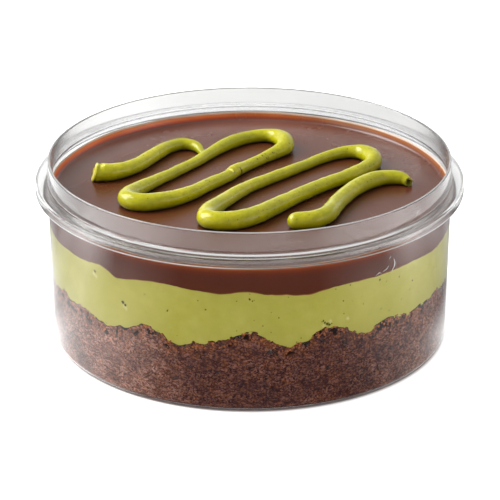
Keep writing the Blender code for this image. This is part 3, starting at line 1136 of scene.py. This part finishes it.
def build_ganache_material():
    material, tree = new_material("chocolate_ganache")
    is_open, climb, foot = (mark(tree, name) for name in ("open", "climb", "foot"))
    place = object_place(tree)
    x, y, z = axes_of(tree, place)
    on_left = remap(tree, x, *LIT_FROM_TO)
    in_front = remap(tree, y, *FRONT_FROM_TO)
    # Painted light through the climbing film, then a painted highlight at its edge.
    top_side = paint(tree, GANACHE_DARK, (
        (remap(tree, climb, *REDDENS), blend_colors(tree, on_left, FILM_GLOW_RED, FILM_GLOW_RED_LIT)),
        (remap(tree, climb, *TURNS_ORANGE),
         blend_colors(tree, on_left, FILM_GLOW_ORANGE, FILM_GLOW_ORANGE_LIT)),
        (remap(tree, climb, *TURNS_PALE), FILM_EDGE_HIGHLIGHT)))
    wall_side = paint(tree, WALL_SIDEWAYS, (
        (in_front, color_ramp(tree, remap(tree, z, *WALL_HEIGHTS), WALL_TONE_GLOW_STOPS)),
        (times(tree, remap(tree, climb, *FILM_TIP), in_front), FILM_TIP_HIGHLIGHT)))
    flattened = vector_calc(tree, "MULTIPLY", place, (1.0, 1.0, 0.0))
    radius = vector_calc(tree, "LENGTH", flattened)
    off_wall = remap(tree, radius, *OFF_WALL)
    far_edge = times(tree, remap(tree, radius, *BY_WALL), remap(tree, y, *FAR_FROM_TO))
    hazy_flat = times(tree, remap(tree, climb, *FLAT_PART), remap(tree, x, *CLEAR_RIGHT))
    slow = mottle(tree, 120.0, 3.0, 2.0)
    color = paint(tree, wall_side, (
        (is_open, top_side),
        (times(tree, slow, 0.25), GANACHE_DARK),
        (times(tree, foot, mottle(tree, 140.0, 1.0, 7.0)), FOOT_TAN),
        (times(tree, far_edge, hazy_flat), GANACHE_HAZE),
        (times(tree, times(tree, contact_shade(tree), off_wall), 0.85), CONTACT_SHADE_BROWN)))
    return set_surface(material, {
        "Base Color": color, "Roughness": remap(tree, slow, 0.0, 1.0, 0.23, 0.29),
        "Specular IOR Level": remap(tree, is_open, 0.0, 1.0, 0.02, 0.5),
        "Normal": bump(tree, mottle(tree, 110.0, 1.0, 1.0), 0.05, 0.5 * MM)})


finish_piece("ganache_top", ganache_top, "ganache", build_ganache_material())

# %% [markdown]
# The piped cream is four strands: a first one with a blunt cut end and a thin tail, two long
# closed loops, and a last one that ends in a torn tip. Each is a path with a thickness at
# every point, in millimetres, and a smooth curve runs through those points.

# %% The paths of the piping
FIRST_STRAND = (
    (-38.1, 5.7, 4.9), (-37.3, 5.7, 4.6), (-36.4, 5.8, 4.9), (-34.9, 6.1, 4.65),
    (-31.2, 8.6, 4.1), (-28.0, 12.5, 3.9),
    (-25.0, 17.9, 3.8), (-22.1, 23.0, 3.6), (-20.2, 25.5, 3.4),
    (-17.7, 27.2, 3.3), (-15.2, 27.0, 3.1), (-13.3, 25.4, 2.6), (-12.3, 22.8, 2.0),
    (-11.8, 21.2, 1.5),
)
BACK_LOOP = (
    (-30.0, -9.8, 4.5), (-27.9, -5.1, 4.0), (-24.9, -0.4, 3.4), (-19.9, 6.4, 3.0),
    (-14.1, 14.4, 2.8), (-11.0, 19.6, 3.0), (-7.7, 24.6, 3.4), (-4.0, 29.1, 3.6),
    (0.1, 32.2, 3.5), (4.0, 33.2, 3.7), (7.2, 31.8, 4.1), (9.0, 28.1, 4.7),
    (8.8, 23.8, 4.3), (5.8, 20.1, 3.4), (0.0, 13.3, 2.9), (-3.5, 8.6, 3.5),
    (-5.8, 4.5, 3.2), (-10.6, -1.6, 3.5), (-13.4, -5.6, 3.8), (-17.0, -9.6, 4.1),
    (-20.6, -12.2, 4.4), (-25.4, -14.0, 4.7), (-28.9, -12.9, 4.7),
)
FRONT_LOOP = (
    (-10.5, -22.4, 4.6), (-9.4, -18.2, 4.4), (-7.1, -13.7, 4.0), (-3.1, -6.7, 3.6),
    (0.3, -1.7, 3.3), (7.4, 5.9, 3.0), (14.6, 13.6, 2.8), (18.1, 17.3, 2.9),
    (21.7, 20.1, 3.1), (25.3, 21.5, 3.5), (28.4, 20.9, 4.0), (30.7, 18.2, 4.5),
    (31.4, 14.5, 4.4), (30.1, 11.3, 3.9), (25.2, 5.2, 3.7), (18.0, -1.7, 3.7),
    (10.9, -9.8, 3.9), (3.8, -19.2, 4.5), (0.2, -23.1, 4.7), (-3.3, -25.2, 4.8),
    (-6.7, -25.9, 4.9), (-9.5, -24.9, 4.8),
)
LAST_STRAND = (
    (11.2, -25.2, 4.4), (15.2, -24.6, 4.5), (18.4, -21.7, 4.5), (20.2, -17.0, 4.3),
    (21.9, -12.0, 4.2), (25.3, -5.1, 4.2), (28.0, -1.2, 4.2), (30.6, 1.4, 4.2),
    (33.2, 3.0, 4.0), (36.0, 3.5, 3.8), (38.2, 3.0, 3.3), (39.4, 1.8, 2.4),
)
STRAND_SINK = 0.75
STRAND_STEP = 0.5 * MM


def smooth_path(waypoints, closed):
    """Evenly spaced points on a smooth curve through the waypoints."""
    points = [Vector(point) * MM for point in waypoints]
    count = len(points)
    path = []
    for span in range(count if closed else count - 1):
        places = [span + shift if closed else min(max(span + shift, 0), count - 1)
                  for shift in (-1, 0, 1, 2)]
        before, start, end, after = (points[place % count] for place in places)
        pieces = max(1, round((end - start).length / STRAND_STEP))
        for piece in range(pieces):
            t = piece / pieces
            path.append(0.5 * (2 * start + (end - before) * t
                               + (2 * before - 5 * start + 4 * end - after) * t ** 2
                               + (3 * start - before - 3 * end + after) * t ** 3))
    if not closed:
        path.append(points[-1])
    return path


print("front loop", len(smooth_path(FRONT_LOOP, True)), "points")

# %% [markdown]
# The sweep below closes each open end with one flat face. Real ends are not flat: one was
# cut blunt and left a lip, two are round and one tore into a small hollow. So each flat face
# is swapped for rings, given as a share of the thickness and a reach along the strand.

# %% The ends of the strands
def shape_end(shape, cap, rings, lean, rough, seed):
    """Replace one flat end face with rings that step towards its centre.

    The lean makes the end longer towards one side, and rough makes it uneven.
    """
    centre = cap.calc_center_median()
    outward = cap.normal.copy()
    corners = [loop.vert for loop in cap.loops]
    spokes = [corner.co - centre for corner in corners]
    radius = sum(spoke.length for spoke in spokes) / len(spokes)
    bmesh.ops.delete(shape, geom=[cap], context="FACES_ONLY")
    previous = corners
    for share, reach in rings:
        row = []
        for spoke in spokes:
            wander = noise.noise(spoke.normalized() * 1.7 + Vector((seed, share, 0.0)))
            skew = spoke.normalized().dot(Vector(lean)) * min(1.0, share * 1.2)
            along = outward * radius * (reach + skew + rough * wander * share)
            row.append(shape.verts.new(centre + spoke * share * (1 + rough * wander) + along))
        for index in range(len(row)):
            after = (index + 1) % len(row)
            shape.faces.new((previous[index], previous[after], row[after], row[index]))
        previous = row
    shape.faces.new(previous)


DOME = tuple((math.cos(math.radians(angle)), math.sin(math.radians(angle)))
             for angle in (12, 24, 36, 48, 60, 72, 82))
BLUNT = ((0.95, 0.03), (0.94, 0.08), (0.99, 0.13), (1.02, 0.20), (0.98, 0.27), (0.88, 0.32),
         (0.74, 0.34), (0.56, 0.33), (0.36, 0.31), (0.18, 0.30))
TORN = ((0.97, 0.15), (0.90, 0.30), (0.80, 0.40), (0.70, 0.40), (0.60, 0.25), (0.52, -0.1),
        (0.40, -0.5), (0.2, -0.7))
print("dome", len(DOME), "rings")

# %% [markdown]
# A Geometry Nodes tree pipes the cream: it sweeps a round outline along the path, takes the
# thickness from the curve's radius, and moves the surface a little by noise, as soft cream
# never comes out of the nozzle quite even. It also stores how far along and how far around
# each point lies, so that the finish can follow the strand.

# %% Pipe the cream
def build_piping_tree():
    tree, start = new_geometry_tree("pipe_cream", {
        "Sides": 28, "Wobble": 0.09 * MM, "Wobble Size": 4.0 * MM})
    place = geometry_node(tree, "InputPosition")
    outline = geometry_node(tree, "CurvePrimitiveCircle", {
        "Resolution": start["Sides"], "Radius": 1.0 * MM})
    marked_outline = geometry_node(tree, "StoreNamedAttribute", {
        "Geometry": outline, "Name": "around", "Value": vector_calc(tree, "NORMALIZE", place)},
        data_type="FLOAT_VECTOR")
    length = node(tree, "GeometryNodeSplineParameter").outputs["Length"]
    marked_path = geometry_node(tree, "StoreNamedAttribute", {
        "Geometry": start["Geometry"], "Name": "along", "Value": length})
    swept = geometry_node(tree, "CurveToMesh", {
        "Curve": marked_path, "Profile Curve": marked_outline,
        "Scale": geometry_node(tree, "InputRadius"), "Fill Caps": True})
    uneven = cloud(tree, place, calc(tree, "DIVIDE", 1.0, start["Wobble Size"]), 2.0)
    amount = times(tree, calc(tree, "SUBTRACT", uneven, 0.5), start["Wobble"])
    shift = vector_calc(tree, "SCALE", geometry_node(tree, "InputNormal"),
                        Scale=times(tree, amount, 4.0))
    moved = geometry_node(tree, "SetPosition", {"Geometry": swept, "Offset": shift})
    return end_tree(tree, start, moved)


def strand_curve(name, waypoints, closed):
    """The strand's path, set at the height at which it sinks into the ganache a little."""
    path = smooth_path(waypoints, closed)
    curve = new_curve(name)
    places = [(spot.x, spot.y, GANACHE_TOP + STRAND_SINK * spot.z / 2) for spot in path]
    add_line(curve, places, [spot.z / 2 / MM for spot in path], closed)
    return curve


def piped_mesh(name, waypoints, closed, forms, material):
    """Sweep one strand and shape its two ends; forms lists the start and the end."""
    curve = strand_curve(name, waypoints, closed)
    mesh = run_geometry(name, curve, piping_tree, {"Material": material})
    shape = bmesh.new()
    shape.from_mesh(mesh)
    for form, caps_at, lean, rough, seed in forms:
        caps = [face for face in shape.faces if len(face.verts) > 4]
        spot = Vector((*waypoints[caps_at][:2], 0.0)) * MM
        cap = min(caps, key=lambda face: (face.calc_center_median().xy - spot.xy).length)
        cap.normal_update()
        shape_end(shape, cap, form, lean, rough, seed)
    bmesh.ops.recalc_face_normals(shape, faces=shape.faces)
    shape.to_mesh(mesh)
    shape.free()
    mesh.shade_smooth()
    return mesh


piping_tree = build_piping_tree()
print("piping tree ready")

# %% [markdown]
# The piped cream is the cream of the band again, but deeper and wet. Fine streaks left by
# the nozzle run along each strand and small dark bits mark it. Painted shade darkens its
# underside, the corner where it meets the ganache, a small hole and the hollow of the torn
# tip, and painted highlights light the blunt end and a spot on the back loop.

# %% Piped cream finish
PIPED_GREEN = (0.49, 0.455, 0.006)
PIPED_LIGHT = (0.62, 0.555, 0.010)
PIPED_DEEP = (0.27, 0.280, 0.003)
# Painted shade for the underside and the corner at the ganache, and a painted highlight tone.
PIPED_UNDERSIDE_SHADE = (0.17, 0.165, 0.002)
PIPED_HIGHLIGHT_TONE = (0.88, 0.80, 0.14)
CONTACT_SHADE_DARK = (0.035, 0.028, 0.003)
UNDERSIDE = (GANACHE_TOP + 1.9 * MM, GANACHE_TOP + 0.3 * MM)
OFF_BLUNT_END = (-38.0 * MM, -36.8 * MM, 0.0, 0.68)
STREAK_EDGE = (0.35, 0.68)
STREAK_STRETCH = 120.0
# Dark bits of pistachio; the first two spots are painted shade in a small hole and the last two
# painted shade in the torn tip's hollow. The pale spots are painted highlights.
PIPED_BITS_AND_SHADE = [(x, y, 0.0, radius) for x, y, radius in (
    (-2.15, 7.7, 0.34), (-1.8, 8.0, 0.24), (1.9, 14.2, 0.20), (3.1, 16.1, 0.26),
    (2.5, 15.0, 0.20), (4.7, 16.6, 0.26), (3.9, 17.0, 0.20), (5.9, 18.3, 0.24),
    (5.2, 17.6, 0.20), (6.9, 18.9, 0.20), (4.4, 16.1, 0.18), (6.4, 18.6, 0.20),
    (-15.5, -8.6, 0.22), (-19.5, -11.8, 0.26), (-3.5, -24.6, 0.24), (2.4, -20.6, 0.24),
    (9.0, -11.2, 0.22), (25.0, 20.4, 0.20), (-6.0, 4.6, 0.22), (14.4, 13.4, 0.20),
    (39.5, 1.2, 0.62), (39.9, 0.8, 0.50))]
PIPED_PAINTED_LIGHT = [(-4.5, 5.4, 0.0, 0.7), (-39.1, 5.4, 0.0, 1.7), (-36.4, 5.0, 0.0, 0.6)]


def piping_streaks(tree):
    """Thin streaks that run along the strand, broken up by a fine grain."""
    around = node(tree, "ShaderNodeAttribute", attribute_name="around").outputs["Vector"]
    along = times(tree, mark(tree, "along"), STREAK_STRETCH)
    forward = node(tree, "ShaderNodeCombineXYZ", {"Z": along})
    place = vector_calc(tree, "ADD", around, forward.outputs["Vector"])
    lines = remap(tree, cloud(tree, place, 5.0, 3.0, Roughness=0.7), *STREAK_EDGE)
    return times(tree, calc(tree, "ADD", lines, mottle(tree, 800.0, 3.0, 4.0)), 0.7)


def paint_contact_shade(material):
    """Paint shade into the cream: darker on its underside and right where it meets the ganache."""
    tree = material.node_tree
    x, y, z = axes_of(tree, object_place(tree))
    low = remap(tree, z, *UNDERSIDE)
    off_end = remap(tree, x, *OFF_BLUNT_END)
    plain = tree.nodes["Principled BSDF"].inputs["Base Color"].links[0].from_socket
    color = paint(tree, plain, (
        (times(tree, low, off_end), PIPED_UNDERSIDE_SHADE),
        (times(tree, contact_shade(tree), 0.92), CONTACT_SHADE_DARK)))
    return set_surface(material, {"Base Color": color})


piping_material = paint_contact_shade(build_cream_material(
    "piped_pistachio_cream", (PIPED_GREEN, PIPED_LIGHT, PIPED_DEEP, PIPED_HIGHLIGHT_TONE), 0.48,
    piping_streaks, 0.30, PIPED_BITS_AND_SHADE, PIPED_PAINTED_LIGHT))
STRANDS = (
    ("first_strand", FIRST_STRAND, False, ((BLUNT, 0, (0.0, 0.10, -0.12), 0.16, 3.0),
                                           (DOME, -1, (0.0, 0.0, 0.0), 0.0, 0.0))),
    ("back_loop", BACK_LOOP, True, ()),
    ("front_loop", FRONT_LOOP, True, ()),
    ("last_strand", LAST_STRAND, False, ((DOME, 0, (0.0, 0.0, 0.0), 0.02, 5.0),
                                         (TORN, -1, (0.0, 0.2, -0.3), 0.25, 7.0))),
)
for name, waypoints, closed, forms in STRANDS:
    strand_mesh = piped_mesh(name, waypoints, closed, forms, piping_material)
    finish_piece(name, strand_mesh, "ganache")

# %% [markdown]
# The floor is a wide pale sheet that glows softly like a light table, most of all beside the
# tub, so that the food is lit from the sides through the wall. The glow that the camera sees
# fades out under the foot, which leaves the thin grey outline of the photo. Upright clear
# walls mirror the table and nothing else, and in the photo they mirror a dim table close in
# front, a pale one further out and bright paper at both sides. So mirrored rays, and only
# those, see a floor with that pattern, given as brightness by metres from the axis.

# %% The floor that is mirrored
IN_FRONT = ((0.088, 0.06), (0.104, 0.27), (0.130, 0.30), (0.143, 0.90), (0.150, 3.50))
HALF_LEFT = ((0.066, 2.60), (0.095, 1.50), (0.108, 0.60), (0.126, 0.50), (0.139, 1.60),
             (0.144, 8.40))
FAR_LEFT = ((0.066, 2.60), (0.088, 3.10), (0.110, 6.80), (0.122, 5.50), (0.128, 2.50),
            (0.133, 6.00), (0.148, 9.00))
HALF_RIGHT = ((0.066, 0.90), (0.095, 1.50), (0.108, 0.25), (0.126, 0.12), (0.139, 1.00),
              (0.144, 6.60))
FAR_RIGHT = ((0.054, 1.50), (0.062, 0.60), (0.088, 1.80), (0.110, 5.60), (0.122, 4.20),
             (0.128, 2.00), (0.133, 4.80), (0.148, 7.50))
BRIGHTEST = 9.0
RAMP_PER_METRE = 4.0
HALF_ROUND = (0.50, 0.82)
FAR_ROUND = (0.90, 0.99)
TO_THE_BACK = (-0.15, 0.12)


def mirrored_floor(tree, place):
    """Emission that only the mirrored rays see."""
    distance = vector_calc(tree, "LENGTH", place)
    x, y, z = axes_of(tree, place)
    along_ramp = times(tree, distance, RAMP_PER_METRE)
    front, half_left, far_left, half_right, far_right = (
        color_ramp(tree, along_ramp, [(spot * RAMP_PER_METRE, grey(level / BRIGHTEST))
                                      for spot, level in stops])
        for stops in (IN_FRONT, HALF_LEFT, FAR_LEFT, HALF_RIGHT, FAR_RIGHT))
    to_right = calc(tree, "GREATER_THAN", x, 0.0)
    aside = calc(tree, "ABSOLUTE", calc(tree, "DIVIDE", x, distance))
    half = blend_colors(tree, to_right, half_left, half_right)
    far = blend_colors(tree, to_right, far_left, far_right)
    beside = blend_colors(tree, remap(tree, aside, *FAR_ROUND), half, far)
    backward = calc(tree, "DIVIDE", y, distance)
    return node(tree, "ShaderNodeEmission", {
        "Color": blend_colors(tree, remap(tree, aside, *HALF_ROUND), front, beside),
        "Strength": remap(tree, backward, *TO_THE_BACK, BRIGHTEST, BRIGHTEST / 2.0),
    }).outputs["Emission"]


print("mirrored floor", BRIGHTEST, "at its brightest")

# %% [markdown]
# The floor's own material puts the parts together. Light Path tells the rays apart: the
# camera sees an even pale table, scattered light meets a glow before the tub that grows to
# both sides, rays through the clear plastic see a little light at the sides, and mirrored
# rays see the pattern above.

# %% The floor
THROUGH_SIDES = ((-0.050, 0.15), (-0.037, 0.19), (-0.020, 0.0), (0.041, 0.0), (0.052, 0.15))
FOOT_LINE = (48.5 * MM, 49.5 * MM)
LEFT_GLOW = 2.3
FRONT_GLOW = 0.95
RIGHT_GLOW = 3.2
GLOW_REACH = 0.12
GLOW_STARTS_ENDS = (0.03, -0.05)
FLOOR_RADIUS = 3.0
FLOOR_DROP = 0.2 * MM


def build_floor_material():
    material, tree = new_material("pale_floor")
    light_path = node(tree, "ShaderNodeLightPath").outputs
    place = object_place(tree)
    x, y, z = axes_of(tree, place)
    across = remap(tree, x, -GLOW_REACH, GLOW_REACH)
    flank = color_ramp(tree, across, (
        (0.0, grey(LEFT_GLOW)), (0.36, grey(FRONT_GLOW)), (0.64, grey(FRONT_GLOW)),
        (1.0, grey(RIGHT_GLOW))))
    sides = color_ramp(tree, across, [
        (spot / (2 * GLOW_REACH) + 0.5, grey(level)) for spot, level in THROUGH_SIDES])
    glow = times(tree, remap(tree, y, *GLOW_STARTS_ENDS), flank)
    scattered = calc(tree, "GREATER_THAN", light_path["Diffuse Depth"], 0.5)
    clear_of_foot = remap(tree, vector_calc(tree, "LENGTH", place), *FOOT_LINE, 0.0, 0.75)
    lit = paint(tree, sides, ((scattered, glow), (light_path["Is Camera Ray"], clear_of_foot)))
    set_surface(material, {
        "Base Color": blend_colors(tree, mottle(tree, 8.0, 2.0, 1.0), grey(0.72), grey(0.75)),
        "Roughness": 0.9, "Specular IOR Level": 0.1, "Emission Color": (1.0, 1.0, 1.0, 1.0),
        "Emission Strength": lit})
    not_diffuse = calc(tree, "SUBTRACT", 1.0, light_path["Is Diffuse Ray"])
    mirrored = times(tree, light_path["Is Reflection Ray"], not_diffuse)
    choice = node(tree, "ShaderNodeMixShader", {
        0: mirrored, 1: tree.nodes["Principled BSDF"].outputs["BSDF"],
        2: mirrored_floor(tree, place)})
    fill(tree, tree.nodes["Material Output"], {"Surface": choice.outputs["Shader"]})
    return material


def build_floor():
    shape = bmesh.new()
    bmesh.ops.create_circle(shape, cap_ends=True, segments=96, radius=FLOOR_RADIUS)
    mesh = bpy.data.meshes.new("floor")
    shape.to_mesh(mesh)
    shape.free()
    mesh.materials.append(build_floor_material())
    floor = new_object("floor", mesh)
    floor.location.z = -FLOOR_DROP


build_floor()
print("floor", 2 * FLOOR_RADIUS, "m across")

# %% [markdown]
# The light is soft and comes from all round, dimmer in front and bright low behind, so that
# the cream has a pale rim at the back and deep green sides, and the wet ganache mirrors a
# pale backdrop. What shows through the clear plastic is white, and a little less so where
# light has already passed through a wall. A large soft box up on the left puts small white
# glints on the cream. It isn't seen through the plastic, where it would burn a white band
# into the flange. Weak panels at both sides lift the flanks of the tub.

# %% Sky and lights
SKY_BEHIND = ((0.16, 1.80), (0.27, 1.20), (0.36, 0.58), (0.60, 0.70), (0.78, 0.72), (0.95, 0.60))
SKY_IN_FRONT = ((0.26, 0.38), (0.60, 0.48), (0.78, 0.60), (0.95, 0.60))
SKY_STRENGTH = 2.0
SKY_TURN = (-0.35, 0.35)
INSIDE_GLOW = 0.6
AIM_HEIGHT = 0.03


def build_sky():
    world = bpy.data.worlds.new("studio")
    scene.world = world
    world.use_nodes = True
    tree = world.node_tree
    x, y, z = axes_of(tree, node(tree, "ShaderNodeTexCoord").outputs["Generated"])
    behind, in_front = (
        color_ramp(tree, z, [(spot, grey(level / SKY_STRENGTH)) for spot, level in levels])
        for levels in (SKY_BEHIND, SKY_IN_FRONT))
    level = blend_colors(tree, remap(tree, y, *SKY_TURN), in_front, behind)
    light_path = node(tree, "ShaderNodeLightPath").outputs
    unscattered = calc(tree, "LESS_THAN", light_path["Diffuse Depth"], 0.5)
    inside = calc(tree, "GREATER_THAN", light_path["Transmission Depth"], 0.5)
    softened = calc(tree, "MAXIMUM", light_path["Is Transmission Ray"],
                    times(tree, inside, INSIDE_GLOW))
    color = blend_colors(tree, times(tree, unscattered, softened), level,
                         grey(1.0 / SKY_STRENGTH))
    fill(tree, tree.nodes["Background"], {"Color": color, "Strength": SKY_STRENGTH})


def add_softbox(name, direction, distance, size, radiance):
    """A square soft light that shines at the tub with the given brightness."""
    light = bpy.data.lights.new(name, "AREA")
    light.shape = "SQUARE"
    light.size = size
    light.energy = radiance * math.pi * size * size
    item = new_object(name, light)
    item.location = Vector(direction).normalized() * distance + Vector((0.0, 0.0, AIM_HEIGHT))
    item.rotation_euler = (-Vector(direction)).to_track_quat("-Z", "Y").to_euler()
    print(name, round(light.energy, 2), "W")
    return item


build_sky()
key_light = add_softbox("key_softbox", (-0.735, 0.18, 0.64), 0.6, 0.44, 9.5)
key_light.visible_transmission = False
add_softbox("left_panel", (-0.85, -0.40, 0.14), 0.7, 0.40, 2.2)
add_softbox("right_panel", (0.85, -0.40, 0.14), 0.7, 0.40, 1.8)

# %% [markdown]
# The camera stands well back with a long lens, a good deal above the table, and aims at the
# middle of the tub, so the rim opens into the same slim oval as in the photo.

# %% Camera
CAMERA_DISTANCE = 650.0 * MM
CAMERA_HEIGHT_DEG = 23.2
LENS_MM = 186.55
SENSOR_MM = 36.0
AIM = Vector((0.1 * MM, 0.0, 20.5 * MM))
camera_data = bpy.data.cameras.new("camera")
camera_data.lens = LENS_MM
camera_data.sensor_width = SENSOR_MM
camera_data.clip_start = 0.01
camera = new_object("camera", camera_data)
rise = math.radians(CAMERA_HEIGHT_DEG)
back = Vector((0.0, -math.cos(rise), math.sin(rise)))
camera.location = AIM + back * CAMERA_DISTANCE
camera.rotation_euler = (-back).to_track_quat("-Z", "Y").to_euler()
scene.camera = camera
print("camera", [round(value, 3) for value in camera.location])
